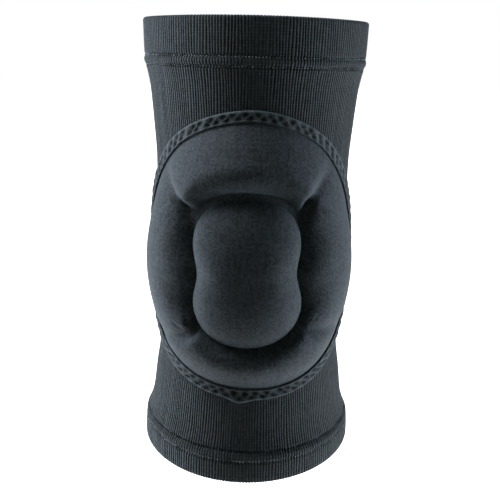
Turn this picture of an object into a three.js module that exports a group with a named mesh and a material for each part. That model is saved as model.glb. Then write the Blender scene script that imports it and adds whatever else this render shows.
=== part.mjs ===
// Pull-on wrestling knee pad, filled out as it is when worn.
// A ribbed knit sleeve with a turned hem at each end carries a moulded five-cell foam pad over the
// front of the knee, and a folded binding tape holds the pad's flange to the sleeve.
// Millimetres, +Z up, the pad faces -Y, +X is the right-hand side seen from the front.
// The origin lies in the hollow, on the sleeve's centreline at the middle of the knee bend.

import * as THREE from 'three';
import { LoftGeometry } from 'three/addons/geometries/LoftGeometry.js';

const { degToRad, clamp, lerp } = THREE.MathUtils;

// Knit: one ply in the sleeve, two plies with a round fold in each hem
const KNIT_PLY = 1.8;
const TOP_LEVEL = 114;
const BOTTOM_LEVEL = -116.5;
const UPPER_SEAM_LEVEL = 89.5;
const LOWER_SEAM_LEVEL = -100;
const SEAM_GAP = 0.3;
const TOP_RIM = { crown: 1.3, tilt: 0 };
const BOTTOM_RIM = { crown: -1.8, tilt: 0.6 };
const KNIT_SIDES = 60;
const SLEEVE_ROWS = 15;
const HEM_ROWS = 3;
const FOLD_STEPS = 4;

// Knee: the thigh end is upright and the calf end leans back through one even bend
const CALF_LEAN = degToRad(18);
const BEND_LENGTH = 100;
const BEND_RADIUS = BEND_LENGTH / CALF_LEAN;
const DEPTH_PER_WIDTH = 1.04;

// Outer half width of the knit at each level along the centreline
const SECTIONS = [
  { level: -116.5, halfWidth: 55.5 },
  { level: -106, halfWidth: 55.2 },
  { level: -100, halfWidth: 53.8 },
  { level: -93, halfWidth: 51.6 },
  { level: -75, halfWidth: 49.6 },
  { level: -57, halfWidth: 47.6 },
  { level: -30, halfWidth: 49.4 },
  { level: -5, halfWidth: 50.6 },
  { level: 20, halfWidth: 50.4 },
  { level: 42, halfWidth: 50.8 },
  { level: 58, halfWidth: 52.4 },
  { level: 74, halfWidth: 54.3 },
  { level: 84, halfWidth: 55.9 },
  { level: 91, halfWidth: 57.9 },
  { level: 114, halfWidth: 59.6 },
];

// Pad: cut flat and sewn round the front of the sleeve; its cells and its edge are each turned a little
const PAD_LEVEL = -8;
const PAD_RADIUS = 51;
const PAD_SHIFT = degToRad(-1.7);
const CELL_TWIST = degToRad(1.6);
const EDGE_TWIST = degToRad(-2.5);
const PAD_SIDES = 72;
const LINE_STEPS = 288;
const BOTTOM_ANGLE = 1.5 * Math.PI;

// Outer edge of the binding: a superellipse with its own height and power above and below its middle
const EDGE = { halfWidth: degToRad(88) * PAD_RADIUS, rise: 76, drop: 62, topPower: 1.8, bottomPower: 2.2 };

// Edge of the centre cell: a squarer one whose ends bow in shallow arches, drawn in at its waist
const CENTRE = { halfWidth: 27.2, rise: 34.5, drop: 32.5, topPower: 4.5, bottomPower: 4.5 };
const TOP_ARCH = 0.15;
const BOTTOM_ARCH = 0.25;
const WAIST = 0.115;
const WAIST_RISE = 2;
const WAIST_SPREAD = 9;

// Creases between the outer cells, and the distance that each cell takes to round over from them; they
// fade out with the distance from the centre cell
const CREASES = [
  {
    startAcross: -27.5, startUp: 29.5, bendAcross: -32, bendUp: 33, endAcross: -48, endUp: 50,
    endCellRounding: 4, sideCellRounding: 11,
  },
  {
    startAcross: 28.5, startUp: 33, bendAcross: 29.5, bendUp: 37.5, endAcross: 46, endUp: 50,
    endCellRounding: 4, sideCellRounding: 11,
  },
  {
    startAcross: -26, startUp: -27, bendAcross: -32, bendUp: -30.5, endAcross: -55.5, endUp: -36,
    endCellRounding: 3, sideCellRounding: 7,
  },
  {
    startAcross: 26, startUp: -23.5, bendAcross: 33, bendUp: -26.5, endAcross: 56.5, endUp: -33,
    endCellRounding: 3, sideCellRounding: 7,
  },
];
const CREASE_STEPS = 40;
const CREASE_HALF_WIDTH = 0.6;
const CREASE_DEPTH = 0.97;
const CREASE_REACH = 250;

// Pad heights above the knit; the centre cell stands on a wall and has a crown
const BACK_HEIGHT = 0.5;
const FLANGE_UNDERSIDE = 1.3;
const FLANGE_TOP = 2.3;
const GROOVE_HEIGHT = 4;
const CENTRE_WALL = 5.5;
const CENTRE_CROWN = 6.5;
const WALL_ROUNDING = 4;
const TOP_WALL_ROUNDING = 12;

// Outer cells: their height and how much of it their ends gain, the groove beside the centre cell, the
// distance to round over from that groove and how much sharper it is at the ends, the distance to round
// over from the seam, how straight that slope is, and the cell's pull on its neighbours
const TOP_CELL = {
  height: 16, lobe: 0.1, grooveWidth: 2, innerRounding: 12, endSharpness: 0.4,
  seamRounding: 22, straightness: 1, pull: 0.9,
};
const SIDE_CELL = {
  height: 12.5, lobe: 0, grooveWidth: 1.5, innerRounding: 16, endSharpness: 0,
  seamRounding: 34, straightness: 0, pull: 1,
};
const BOTTOM_CELL = {
  height: 13, lobe: -0.15, grooveWidth: 1, innerRounding: 9, endSharpness: 1.1,
  seamRounding: 19, straightness: 0, pull: 1.28,
};
const CELL_PARTING = 8;

// Binding: a tape folded over the flange, with a small point at the bottom where its ends cross
const BINDING_WIDTH = 6;
const TAPE_BOTTOM = 0.4;
const TAPE_TOP = 3.3;
const TAPE_THICKNESS = 0.7;
const TAPE_CORNER = 0.6;
const TAPE_CLEARANCE = 0.3;
const TAPE_FOLD = 1.3;
const TIP_DROP = 2.4;
const TIP_HALF_ANGLE = degToRad(7.5);

const KNIT_COLOUR = 0x2b3032;
const PAD_COLOUR = 0x33383c;
const BINDING_COLOUR = 0x26292b;

// Evenly spaced numbers from first to last, both included
function steps(first, last, count) {
  return Array.from({ length: count + 1 }, (_, i) => lerp(first, last, i / count));
}

// Cubic curve through the section rows, with the slope of its neighbours at each row
function halfWidthAt(level) {
  const last = SECTIONS.length - 1;
  let row = SECTIONS.findIndex((section) => section.level > level) - 1;
  if (row < 0) row = level < SECTIONS[0].level ? 0 : last - 1;
  const slope = (i) => {
    const below = SECTIONS[Math.max(i - 1, 0)];
    const above = SECTIONS[Math.min(i + 1, last)];
    return (above.halfWidth - below.halfWidth) / (above.level - below.level);
  };
  const lower = SECTIONS[row];
  const upper = SECTIONS[row + 1];
  const span = upper.level - lower.level;
  const t = (level - lower.level) / span;
  return (1 + 2 * t) * (1 - t) ** 2 * lower.halfWidth
    + t * (1 - t) ** 2 * span * slope(row)
    + t * t * (3 - 2 * t) * upper.halfWidth
    + t * t * (t - 1) * span * slope(row + 1);
}

// Centreline: straight thigh, circular bend, straight calf, in the YZ plane
function centreline(level) {
  const half = BEND_LENGTH / 2;
  const inBend = clamp(level, -half, half);
  const lean = CALF_LEAN * (half - inBend) / BEND_LENGTH;
  const past = level - inBend;
  return {
    lean,
    y: BEND_RADIUS * (Math.cos(CALF_LEAN / 2) - Math.cos(lean)) - past * Math.sin(lean),
    z: BEND_RADIUS * (Math.sin(CALF_LEAN / 2) - Math.sin(lean)) + past * Math.cos(lean),
  };
}

// Point at a turn round the leg (0 at the front, positive to +X), a level and a height above the knit
function onKnit(turn, level, height) {
  const halfWidth = halfWidthAt(level);
  const halfDepth = halfWidth * DEPTH_PER_WIDTH;
  const { lean, y, z } = centreline(level);
  const normal = new THREE.Vector2(Math.sin(turn) / halfWidth, Math.cos(turn) / halfDepth).normalize();
  const side = halfWidth * Math.sin(turn) + height * normal.x;
  const front = halfDepth * Math.cos(turn) + height * normal.y;
  return new THREE.Vector3(side, y - front * Math.cos(lean), z - front * Math.sin(lean));
}

function knitMaterial() {
  return new THREE.MeshStandardMaterial({ color: KNIT_COLOUR, roughness: 0.9, metalness: 0 });
}

// Closed wall of knit: rings round the leg, one for each station of a closed profile
function knitWall(stations, liftAt) {
  const turns = steps(0, 2 * Math.PI, KNIT_SIDES).slice(0, -1);
  const rings = stations.map(({ level, height }) => turns.map((turn) => {
    return onKnit(turn, level + liftAt(turn, level), height);
  }));
  return new LoftGeometry([...rings, rings[0]]);
}

function makeSleeve() {
  const levels = steps(LOWER_SEAM_LEVEL + SEAM_GAP, UPPER_SEAM_LEVEL - SEAM_GAP, SLEEVE_ROWS);
  const outer = levels.map((level) => ({ level, height: 0 }));
  const inner = levels.map((level) => ({ level, height: -KNIT_PLY })).reverse();
  const geometry = knitWall([...outer, ...inner], () => 0);
  return new THREE.Mesh(geometry, knitMaterial());
}

// Hem: outer ply from the seam to the edge, a half-round fold, and the turned-in ply back to the seam
// The rim's crown lifts the front and back of the edge, and its tilt lifts one side
function makeHem(seamLevel, edgeLevel, { crown, tilt }) {
  const direction = Math.sign(edgeLevel - seamLevel);
  const foldLevel = edgeLevel - direction * KNIT_PLY;
  const levels = steps(seamLevel, foldLevel, HEM_ROWS);
  const outer = levels.map((level) => ({ level, height: 0 }));
  const fold = steps(0, Math.PI, FOLD_STEPS).slice(1, -1).map((angle) => ({
    level: foldLevel + direction * KNIT_PLY * Math.sin(angle),
    height: KNIT_PLY * (Math.cos(angle) - 1),
  }));
  const inner = levels.map((level) => ({ level, height: -2 * KNIT_PLY })).reverse();
  const stations = [...outer, ...fold, ...inner];
  if (direction < 0) stations.reverse();
  const liftAt = (turn, level) => (crown * Math.cos(turn) ** 2 + tilt * Math.sin(turn))
    * (level - seamLevel) / (edgeLevel - seamLevel);
  return new THREE.Mesh(knitWall(stations, liftAt), knitMaterial());
}

// Place on the flat pattern, turned by the small twist that it is moulded or sewn on with
function sewn(across, up, twist) {
  return {
    across: across * Math.cos(twist) - up * Math.sin(twist) + PAD_SHIFT * PAD_RADIUS,
    level: across * Math.sin(twist) + up * Math.cos(twist) + PAD_LEVEL,
  };
}

// Point of a superellipse in one direction
function superellipse(angle, { halfWidth, rise, drop, topPower, bottomPower }) {
  const cos = Math.cos(angle);
  const sin = Math.sin(angle);
  const tall = sin >= 0 ? rise : drop;
  const power = sin >= 0 ? topPower : bottomPower;
  const reach = (Math.abs(cos / halfWidth) ** power + Math.abs(sin / tall) ** power) ** (-1 / power);
  return { across: reach * cos, up: reach * sin };
}

// Pad edge line; inset moves it in from the binding's outer edge
function padEdge(angle, inset) {
  const line = superellipse(angle, {
    ...EDGE,
    halfWidth: EDGE.halfWidth - inset,
    rise: EDGE.rise - inset,
    drop: EDGE.drop - inset,
  });
  return sewn(line.across, line.up, EDGE_TWIST);
}

function centreEdge(angle) {
  const line = superellipse(angle, CENTRE);
  const arch = line.up > 0 ? TOP_ARCH : BOTTOM_ARCH;
  const up = line.up * (1 - arch * (line.across / CENTRE.halfWidth) ** 2);
  const waist = 1 - WAIST * Math.exp(-(((up - WAIST_RISE) / WAIST_SPREAD) ** 2));
  return sewn(line.across * waist, up, CELL_TWIST);
}

// Crease: a quadratic curve from the groove out towards the seam
function creaseLine(crease) {
  return steps(0, 1, CREASE_STEPS).map((t) => {
    const blend = (start, bend, end) => (1 - t) ** 2 * start + 2 * t * (1 - t) * bend + t * t * end;
    const across = blend(crease.startAcross, crease.bendAcross, crease.endAcross);
    return sewn(across, blend(crease.startUp, crease.bendUp, crease.endUp), CELL_TWIST);
  });
}

const padAngles = steps(0, 2 * Math.PI, PAD_SIDES).slice(0, -1);
const lineAngles = steps(0, 2 * Math.PI, LINE_STEPS);
const ringLine = lineAngles.map(centreEdge);
const seamLine = lineAngles.map((angle) => padEdge(angle, BINDING_WIDTH));
const sewnCreases = CREASES.map((crease) => ({ crease, line: creaseLine(crease) }));

// Distance on the flat pattern from a place to the nearest point of a line
function distanceTo(line, place) {
  const distances = line.map((point) => Math.hypot(point.across - place.across, point.level - place.level));
  return Math.min(...distances);
}

// Quarter round from 0 at a groove to 1 where its share of the rounding is 1; where two grooves meet,
// their shortfalls add like the sides of a right triangle
function roundOver(...shares) {
  const short = Math.hypot(...shares.map((share) => 1 - clamp(share, 0, 1)));
  return Math.sqrt(1 - Math.min(short, 1) ** 2);
}

function between(from, to, share) {
  return { across: lerp(from.across, to.across, share), level: lerp(from.level, to.level, share) };
}

// Size of the outer cell in a direction, changing from one cell to the next at the crease between them
function outerCellSize(name, angle) {
  const sin = Math.sin(angle);
  const reaches = [Math.max(sin, 0), Math.abs(Math.cos(angle)), Math.max(-sin, 0)];
  const cells = [TOP_CELL, SIDE_CELL, BOTTOM_CELL];
  const weights = cells.map((cell, i) => (reaches[i] * cell.pull) ** CELL_PARTING);
  const total = weights.reduce((sum, weight) => sum + weight);
  return cells.reduce((sum, cell, i) => sum + cell[name] * weights[i] / total, 0);
}

// Share of the rounding between a place and its nearest crease; a cross product tells its two sides apart
function creaseShare(place, fromRing) {
  const shares = sewnCreases.map(({ crease, line }) => {
    const start = line[0];
    const end = line[CREASE_STEPS];
    const cross = (end.across - start.across) * (place.level - start.level)
      - (end.level - start.level) * (place.across - start.across);
    const inEndCell = cross * crease.startAcross * crease.startUp > 0;
    const rounding = inEndCell ? crease.endCellRounding : crease.sideCellRounding;
    return clamp((distanceTo(line, place) - CREASE_HALF_WIDTH) / rounding, 0, 1);
  });
  const depth = CREASE_DEPTH * (1 - clamp(fromRing / CREASE_REACH, 0, 1));
  return 1 - depth * (1 - Math.min(...shares));
}

// Centre cell: from the middle of the pad to its edge, with a softer wall at the top
function centreCell(angle, share) {
  const place = between(sewn(0, 0, CELL_TWIST), centreEdge(angle), share);
  const rounding = lerp(WALL_ROUNDING, TOP_WALL_ROUNDING, Math.max(Math.sin(angle), 0) ** 2);
  const wall = CENTRE_WALL * roundOver(distanceTo(ringLine, place) / rounding);
  return { ...place, height: GROOVE_HEIGHT + wall + CENTRE_CROWN * (1 - share * share) };
}

// Four outer cells: from the centre cell's edge to the seam, parted by the creases
function outerCell(angle, share) {
  const size = (name) => outerCellSize(name, angle);
  const place = between(centreEdge(angle), padEdge(angle, BINDING_WIDTH), share);
  const fromRing = distanceTo(ringLine, place);
  const endness = Math.cos(angle) ** 2;
  const innerRounding = size('innerRounding') * (1 - size('endSharpness') * endness);
  const ringShare = (fromRing - size('grooveWidth')) / innerRounding;
  const puff = roundOver(ringShare, creaseShare(place, fromRing));
  const foam = lerp(GROOVE_HEIGHT, size('height') * (1 + size('lobe') * endness), puff);
  const seamShare = clamp(distanceTo(seamLine, place) / size('seamRounding'), 0, 1);
  const slope = lerp(Math.sin(Math.PI / 2 * seamShare), seamShare, size('straightness'));
  return { ...place, height: lerp(FLANGE_TOP, foam, slope) };
}

// Cell with each height averaged with its neighbours round the ring, as the foam bridges its creases
function softened(cell) {
  const step = 2 * Math.PI / PAD_SIDES;
  return (angle, share) => {
    const [before, here, after] = [-step, 0, step].map((turn) => cell(angle + turn, share));
    return { ...here, height: (before.height + 2 * here.height + after.height) / 4 };
  };
}

function padRing(placeAt) {
  return padAngles.map((angle) => {
    const { across, level, height } = placeAt(angle);
    return onKnit(across / PAD_RADIUS, level, height);
  });
}

// Pad: back face, flange and five cells, as rings from the middle of the back to the middle of the front
function makePad() {
  const backShares = [0, 0.35, 0.7];
  const backOuterShares = [0, 0.25, 0.5, 0.75];
  const frontOuterShares = [1, 0.97, 0.9, 0.8, 0.66, 0.5, 0.34, 0.2, 0.08];
  const frontShares = [1, 0.93, 0.82, 0.66, 0.36, 0];
  const flangeInset = TAPE_FOLD + TAPE_CLEARANCE;
  const atEdge = (inset, height) => padRing((angle) => ({ ...padEdge(angle, inset), height }));
  const rings = [
    ...backShares.map((share) => padRing((angle) => (
      { ...centreCell(angle, share), height: BACK_HEIGHT }))),
    ...backOuterShares.map((share) => padRing((angle) => (
      { ...outerCell(angle, share), height: BACK_HEIGHT }))),
    atEdge(BINDING_WIDTH + TAPE_CLEARANCE, BACK_HEIGHT),
    atEdge(BINDING_WIDTH, FLANGE_UNDERSIDE),
    atEdge(flangeInset, FLANGE_UNDERSIDE),
    atEdge(flangeInset, FLANGE_TOP),
    ...frontOuterShares.map((share) => padRing((angle) => softened(outerCell)(angle, share))),
    ...frontShares.map((share) => padRing((angle) => softened(centreCell)(angle, share))),
  ];
  const geometry = new LoftGeometry(rings);
  const material = new THREE.MeshStandardMaterial({ color: PAD_COLOUR, roughness: 0.75, metalness: 0 });
  return new THREE.Mesh(geometry, material);
}

// Point where the tape's ends cross: the outer edge dips below the middle of the bottom
function tipDrop(angle, inset) {
  const fromBottom = Math.abs(angle - BOTTOM_ANGLE) / TIP_HALF_ANGLE;
  const nearEdge = clamp(1 - inset / TAPE_FOLD, 0, 1);
  return TIP_DROP * Math.max(1 - fromBottom, 0) * nearEdge;
}

// Binding: C-shaped section of tape folded round the flange, carried round the pad's edge
function makeBinding() {
  const openEdge = BINDING_WIDTH - TAPE_CLEARANCE;
  const section = [
    { inset: openEdge, height: TAPE_TOP },
    { inset: TAPE_CORNER, height: TAPE_TOP },
    { inset: 0, height: TAPE_TOP - TAPE_CORNER },
    { inset: 0, height: TAPE_BOTTOM + TAPE_CORNER },
    { inset: TAPE_CORNER, height: TAPE_BOTTOM },
    { inset: openEdge, height: TAPE_BOTTOM },
    { inset: openEdge, height: FLANGE_UNDERSIDE - TAPE_CLEARANCE },
    { inset: TAPE_FOLD, height: FLANGE_UNDERSIDE - TAPE_CLEARANCE },
    { inset: TAPE_FOLD, height: TAPE_TOP - TAPE_THICKNESS },
    { inset: openEdge, height: TAPE_TOP - TAPE_THICKNESS },
  ];
  const rings = section.map(({ inset, height }) => padRing((angle) => {
    const { across, level } = padEdge(angle, inset);
    return { across, level: level - tipDrop(angle, inset), height };
  }));
  const geometry = new LoftGeometry([...rings, rings[0]].reverse());
  const material = new THREE.MeshStandardMaterial({ color: BINDING_COLOUR, roughness: 0.8, metalness: 0 });
  return new THREE.Mesh(geometry, material);
}

const pieces = {
  knit_sleeve: makeSleeve(),
  upper_hem: makeHem(UPPER_SEAM_LEVEL, TOP_LEVEL, TOP_RIM),
  lower_hem: makeHem(LOWER_SEAM_LEVEL, BOTTOM_LEVEL, BOTTOM_RIM),
  bubble_pad: makePad(),
  edge_binding: makeBinding(),
};

const kneePad = new THREE.Group();
for (const [name, mesh] of Object.entries(pieces)) {
  mesh.name = name;
  kneePad.add(mesh);
}

export default kneePad;
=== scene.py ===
# %% [markdown]
# # A pull-on wrestling knee pad
# The real pad is a tube of ribbed elastic knit with a turned hem at each end. A moulded foam pad of
# five cells is sewn over the kneecap with a folded binding tape. It is shown filled out, as worn.
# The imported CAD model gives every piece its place. This lesson works out finer surfaces over the same
# sizes with numpy, and then gives each one the cloth it is made of.

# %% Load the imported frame
import math

import bpy
import numpy as np
from mathutils import Matrix, Vector


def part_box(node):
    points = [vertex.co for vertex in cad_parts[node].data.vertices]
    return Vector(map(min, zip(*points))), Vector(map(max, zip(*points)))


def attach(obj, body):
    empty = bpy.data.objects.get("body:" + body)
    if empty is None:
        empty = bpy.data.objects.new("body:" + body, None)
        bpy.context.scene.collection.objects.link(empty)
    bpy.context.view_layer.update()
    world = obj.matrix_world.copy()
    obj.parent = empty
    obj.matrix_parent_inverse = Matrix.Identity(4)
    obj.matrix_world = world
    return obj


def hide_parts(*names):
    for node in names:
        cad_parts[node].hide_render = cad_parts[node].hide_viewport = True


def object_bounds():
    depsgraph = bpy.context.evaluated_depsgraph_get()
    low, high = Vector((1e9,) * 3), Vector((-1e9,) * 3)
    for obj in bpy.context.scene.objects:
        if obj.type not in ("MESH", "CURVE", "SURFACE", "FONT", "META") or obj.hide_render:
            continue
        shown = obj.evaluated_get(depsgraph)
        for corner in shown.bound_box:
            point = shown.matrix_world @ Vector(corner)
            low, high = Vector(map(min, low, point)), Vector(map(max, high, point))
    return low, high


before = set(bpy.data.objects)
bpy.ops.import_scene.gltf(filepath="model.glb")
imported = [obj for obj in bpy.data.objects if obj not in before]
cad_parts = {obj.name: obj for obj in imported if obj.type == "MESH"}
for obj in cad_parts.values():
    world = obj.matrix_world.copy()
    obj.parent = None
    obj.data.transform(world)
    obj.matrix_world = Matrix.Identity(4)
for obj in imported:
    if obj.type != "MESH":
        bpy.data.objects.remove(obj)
cad_low, cad_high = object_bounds()
MM = 0.001
print("CAD box in mm:", [round(side / MM, 1) for side in cad_high - cad_low])

# %% [markdown]
# ## The form that the leg gives the knit
# A knit tube has no form of its own: worn, it takes the leg's. It could be sculpted or draped over a
# leg, but then nothing would line up with the CAD. So the form is a formula: ellipses of a few
# measured widths, set square to a centreline that bends once at the knee.

# %% The knit's surface as a function of turn, level and height
CALF_LEAN = math.radians(18)
BEND_LENGTH = 100.0
DEPTH_PER_WIDTH = 1.04
UPPER_SEAM, LOWER_SEAM = 89.5, -100.0
SECTIONS = np.array(
    [
        (-116.5, 55.5), (-106.0, 55.2), (-100.0, 53.8), (-93.0, 51.6), (-75.0, 49.6),
        (-57.0, 47.6), (-30.0, 49.4), (-5.0, 50.6), (20.0, 50.4), (42.0, 50.8),
        (58.0, 52.4), (74.0, 54.3), (84.0, 55.9), (91.0, 57.9), (114.0, 59.6),
    ],
    dtype=[("level", float), ("half_width", float)],
)
TEST_COLUMNS, TEST_ROWS = 61, 16


def half_width(level):
    """Cubic curve through the table's rows; its slope at a row is that between the row's neighbours."""
    x, y = SECTIONS["level"], SECTIONS["half_width"]
    wide_x, wide_y = np.pad(x, 1, mode="edge"), np.pad(y, 1, mode="edge")
    slope = (wide_y[2:] - wide_y[:-2]) / (wide_x[2:] - wide_x[:-2])
    row = np.clip(np.searchsorted(x, level, side="right") - 1, 0, len(x) - 2)
    span = x[row + 1] - x[row]
    t = (level - x[row]) / span
    return (
        (1 + 2 * t) * (1 - t) ** 2 * y[row] + t * (1 - t) ** 2 * span * slope[row]
        + t * t * (3 - 2 * t) * y[row + 1] + t * t * (t - 1) * span * slope[row + 1]
    )


def on_knit(turn, level, height):
    """Point of the knit, in metres: an ellipse lies square to the bent centreline at each level, turn
    goes round it from the front towards +X, and height stands off along the ellipse's normal."""
    turn, level, height = np.broadcast_arrays(turn, level, height)
    wide = half_width(level)
    deep = wide * DEPTH_PER_WIDTH
    in_bend = np.clip(level, -BEND_LENGTH / 2, BEND_LENGTH / 2)
    lean = CALF_LEAN * (BEND_LENGTH / 2 - in_bend) / BEND_LENGTH
    bend_radius = BEND_LENGTH / CALF_LEAN
    past = level - in_bend
    y = bend_radius * (np.cos(CALF_LEAN / 2) - np.cos(lean)) - past * np.sin(lean)
    z = bend_radius * (np.sin(CALF_LEAN / 2) - np.sin(lean)) + past * np.cos(lean)
    normal_side, normal_front = np.sin(turn) / wide, np.cos(turn) / deep
    length = np.hypot(normal_side, normal_front)
    side = wide * np.sin(turn) + height * normal_side / length
    front = deep * np.cos(turn) + height * normal_front / length
    return MM * np.stack([side, y - front * np.cos(lean), z - front * np.sin(lean)], axis=-1)


test_turn = np.linspace(-np.pi, np.pi, TEST_COLUMNS)
test_level = np.linspace(LOWER_SEAM, UPPER_SEAM, TEST_ROWS)[:, None]
formula_high = on_knit(test_turn, test_level, 0.0).max(axis=(0, 1))
solid_high = np.array(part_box("knit_sleeve")[1])
print("formula's highest corner less the CAD's, mm:", np.round((formula_high - solid_high) / MM, 2))

# %% [markdown]
# ## From a grid of points to a mesh
# Every piece here is a grid: rows one way, columns the other, a quad between each four neighbours.
# Blender could add the quads one at a time, but whole arrays written with foreach_set are quicker and
# shorter. Each corner also gets a UV in millimetres or ribs, so a weave can follow the cloth.

# %% Mesh helpers
def make_piece(name, vertices, loops, starts, uvs):
    """Object at the origin from flat arrays of vertices, face corners, first corners and UVs."""
    mesh = bpy.data.meshes.new(name)
    mesh.vertices.add(len(vertices))
    mesh.vertices.foreach_set("co", vertices.astype(np.float32).ravel())
    mesh.loops.add(len(loops))
    mesh.loops.foreach_set("vertex_index", loops.astype(np.int32))
    mesh.polygons.add(len(starts))
    mesh.polygons.foreach_set("loop_start", starts.astype(np.int32))
    mesh.uv_layers.new(name="weave").uv.foreach_set("vector", uvs.astype(np.float32).ravel())
    mesh.polygons.foreach_set("use_smooth", np.ones(len(starts), dtype=bool))
    mesh.update(calc_edges=True)
    mesh.validate()
    piece = bpy.data.objects.new(name, mesh)
    bpy.context.scene.collection.objects.link(piece)
    print(f"{name}: {len(vertices)} points, {len(starts)} faces")
    return piece


def cloth_mesh(name, points, weave, close_rows=False, poles=False):
    """Piece from a grid of points (rows, columns, 3), closed round its columns. The rows close into a
    ring with close_rows; with poles the first and last rows shrink to one point each, with fans.
    weave holds the UV of each corner: one more column than points, and one more row if rows close."""
    rows, columns = points.shape[:2]
    index = np.arange(rows * columns).reshape(rows, columns)
    if poles:
        index[0] = index[0, 0]
        index[-1] = index[-1, 0]
    index = np.hstack([index, index[:, :1]])
    if close_rows:
        index = np.vstack([index, index[:1]])
    corners = [(slice(0, -1), slice(0, -1)), (slice(0, -1), slice(1, None)),
               (slice(1, None), slice(1, None)), (slice(1, None), slice(0, -1))]
    quads = np.stack([index[corner] for corner in corners], axis=-1)
    uvs = np.stack([weave[corner] for corner in corners], axis=-2)
    fans = []
    if poles:
        fans = [(quads[0][:, [1, 2, 3]], uvs[0][:, [1, 2, 3]]), (quads[-1][:, :3], uvs[-1][:, :3])]
        quads, uvs = quads[1:-1], uvs[1:-1]
    quads, uvs = quads.reshape(-1, 4), uvs.reshape(-1, 2)
    loops, starts = quads.ravel(), 4 * np.arange(len(quads))
    for triangles, triangle_uvs in fans:
        starts = np.concatenate([starts, len(loops) + 3 * np.arange(len(triangles))])
        loops = np.concatenate([loops, triangles.ravel()])
        uvs = np.concatenate([uvs, triangle_uvs.reshape(-1, 2)])
    used, loops = np.unique(loops, return_inverse=True)
    return make_piece(name, points.reshape(-1, 3)[used], loops, starts, uvs)


# %% [markdown]
# ## Colours and nodes
# Colours are picked as sRGB hex values, as a designer reads them, and Blender wants linear light.
# One function converts. Nodes could be wired by hand, line by line, but one function that adds a node
# with its settings, its links and the stops of a colour ramp keeps each cloth's recipe in view.

# %% Colour and node helpers
def linear(hex_colour):
    """Linear RGBA of an sRGB hex colour: a straight toe, then a 2.4 power."""
    channels = np.array([int(hex_colour[i:i + 2], 16) for i in (1, 3, 5)]) / 255
    light = np.where(channels <= 0.04045, channels / 12.92, ((channels + 0.055) / 1.055) ** 2.4)
    return (*light.tolist(), 1.0)


def add(tree, kind, inputs=None, stops=(), **settings):
    """Add one node: settings are its properties, inputs are values or sockets to link from, and stops
    are the places and hex colours of a colour ramp. Gives the node's first output."""
    node = tree.nodes.new(kind)
    for name, value in settings.items():
        setattr(node, name, value)
    for number, (position, colour) in enumerate(stops):
        node.color_ramp.elements[number].position = position
        node.color_ramp.elements[number].color = linear(colour)
    for socket, value in (inputs or {}).items():
        if isinstance(value, bpy.types.NodeSocket):
            tree.links.new(value, node.inputs[socket])
        else:
            node.inputs[socket].default_value = value
    return node.outputs[0] if node.outputs else node


def new_material(name):
    """Empty node material and its tree."""
    material = bpy.data.materials.new(name)
    material.use_nodes = True
    material.node_tree.nodes.clear()
    print("material:", name)
    return material, material.node_tree


print("middle grey in linear light:", round(linear("#808080")[0], 3))

# %% [markdown]
# ## What all the cloths share
# Up close every cloth here is the same few things: threads counted along the cloth's own UV, a random
# grey for each loop, lint that lies anywhere, and a matt surface with a nap. An image could hold them,
# but sums of a few patterns stay sharp at any size, and their scale is a real one in millimetres.

# %% Cloth helpers
NAP_TINT = "#bfd2e0"


def weigh(tree, base, *parts):
    """Base plus the weighted sum of sockets, as a chain of multiply-adds."""
    total = base
    for socket, weight in parts:
        total = add(tree, "ShaderNodeMath", {0: socket, 1: weight, 2: total}, operation="MULTIPLY_ADD")
    return total


def weave_axes(tree):
    """The two coordinates of the weave UV: across the cloth and along it."""
    split = add(tree, "ShaderNodeSeparateXYZ", {0: add(tree, "ShaderNodeUVMap", uv_map="weave")}).node
    return split.outputs["X"], split.outputs["Y"]


def lint_noise(tree, size_mm, detail):
    """Soft noise in the object's own space, with blobs of about the given size."""
    place = add(tree, "ShaderNodeTexCoord").node.outputs["Object"]
    return add(tree, "ShaderNodeTexNoise", {"Vector": place, "Scale": 1 / (size_mm * MM), "Detail": detail})


def loop_grain(tree, column, row):
    """A random grey for each loop of a knit: white noise of the whole part of its column and its row."""
    whole_column = add(tree, "ShaderNodeMath", {0: column}, operation="FLOOR")
    whole_row = add(tree, "ShaderNodeMath", {0: row}, operation="FLOOR")
    loop = add(tree, "ShaderNodeCombineXYZ", {0: whole_column, 1: whole_row})
    return add(tree, "ShaderNodeTexWhiteNoise", {"Vector": loop}, noise_dimensions="2D")


def cloth_shader(tree, colour, relief, relief_mm, roughness, sheen):
    """Matt cloth: the relief is a bump of that depth, and the sheen is the pale nap seen edge-on."""
    bump = add(tree, "ShaderNodeBump", {"Height": relief, "Strength": 0.6, "Distance": relief_mm * MM})
    shader = add(tree, "ShaderNodeBsdfPrincipled", {
        "Base Color": colour, "Normal": bump, "Roughness": roughness, "Specular IOR Level": 0.2,
        "Sheen Weight": sheen, "Sheen Roughness": 0.5, "Sheen Tint": linear(NAP_TINT),
    })
    add(tree, "ShaderNodeOutputMaterial", {"Surface": shader})


# %% [markdown]
# ## Rib knit
# The sleeve is a nylon and elastane rib, knitted as a tube. Ribs stand up as round cords, with deep
# narrow valleys between them, and fine loops run along each rib. The ribs themselves are geometry
# further down, because bump can't change an outline. The material adds the loops, the lint and the
# pale sheen that brushed nylon shows edge-on. Its colour also holds painted light: the loop tips are
# painted paler as highlight, and the valleys between the ribs darker as shade.

# %% Rib knit material
COURSE_MM, LINT_MM, PATCH_MM = 1.5, 0.7, 16.0


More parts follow.
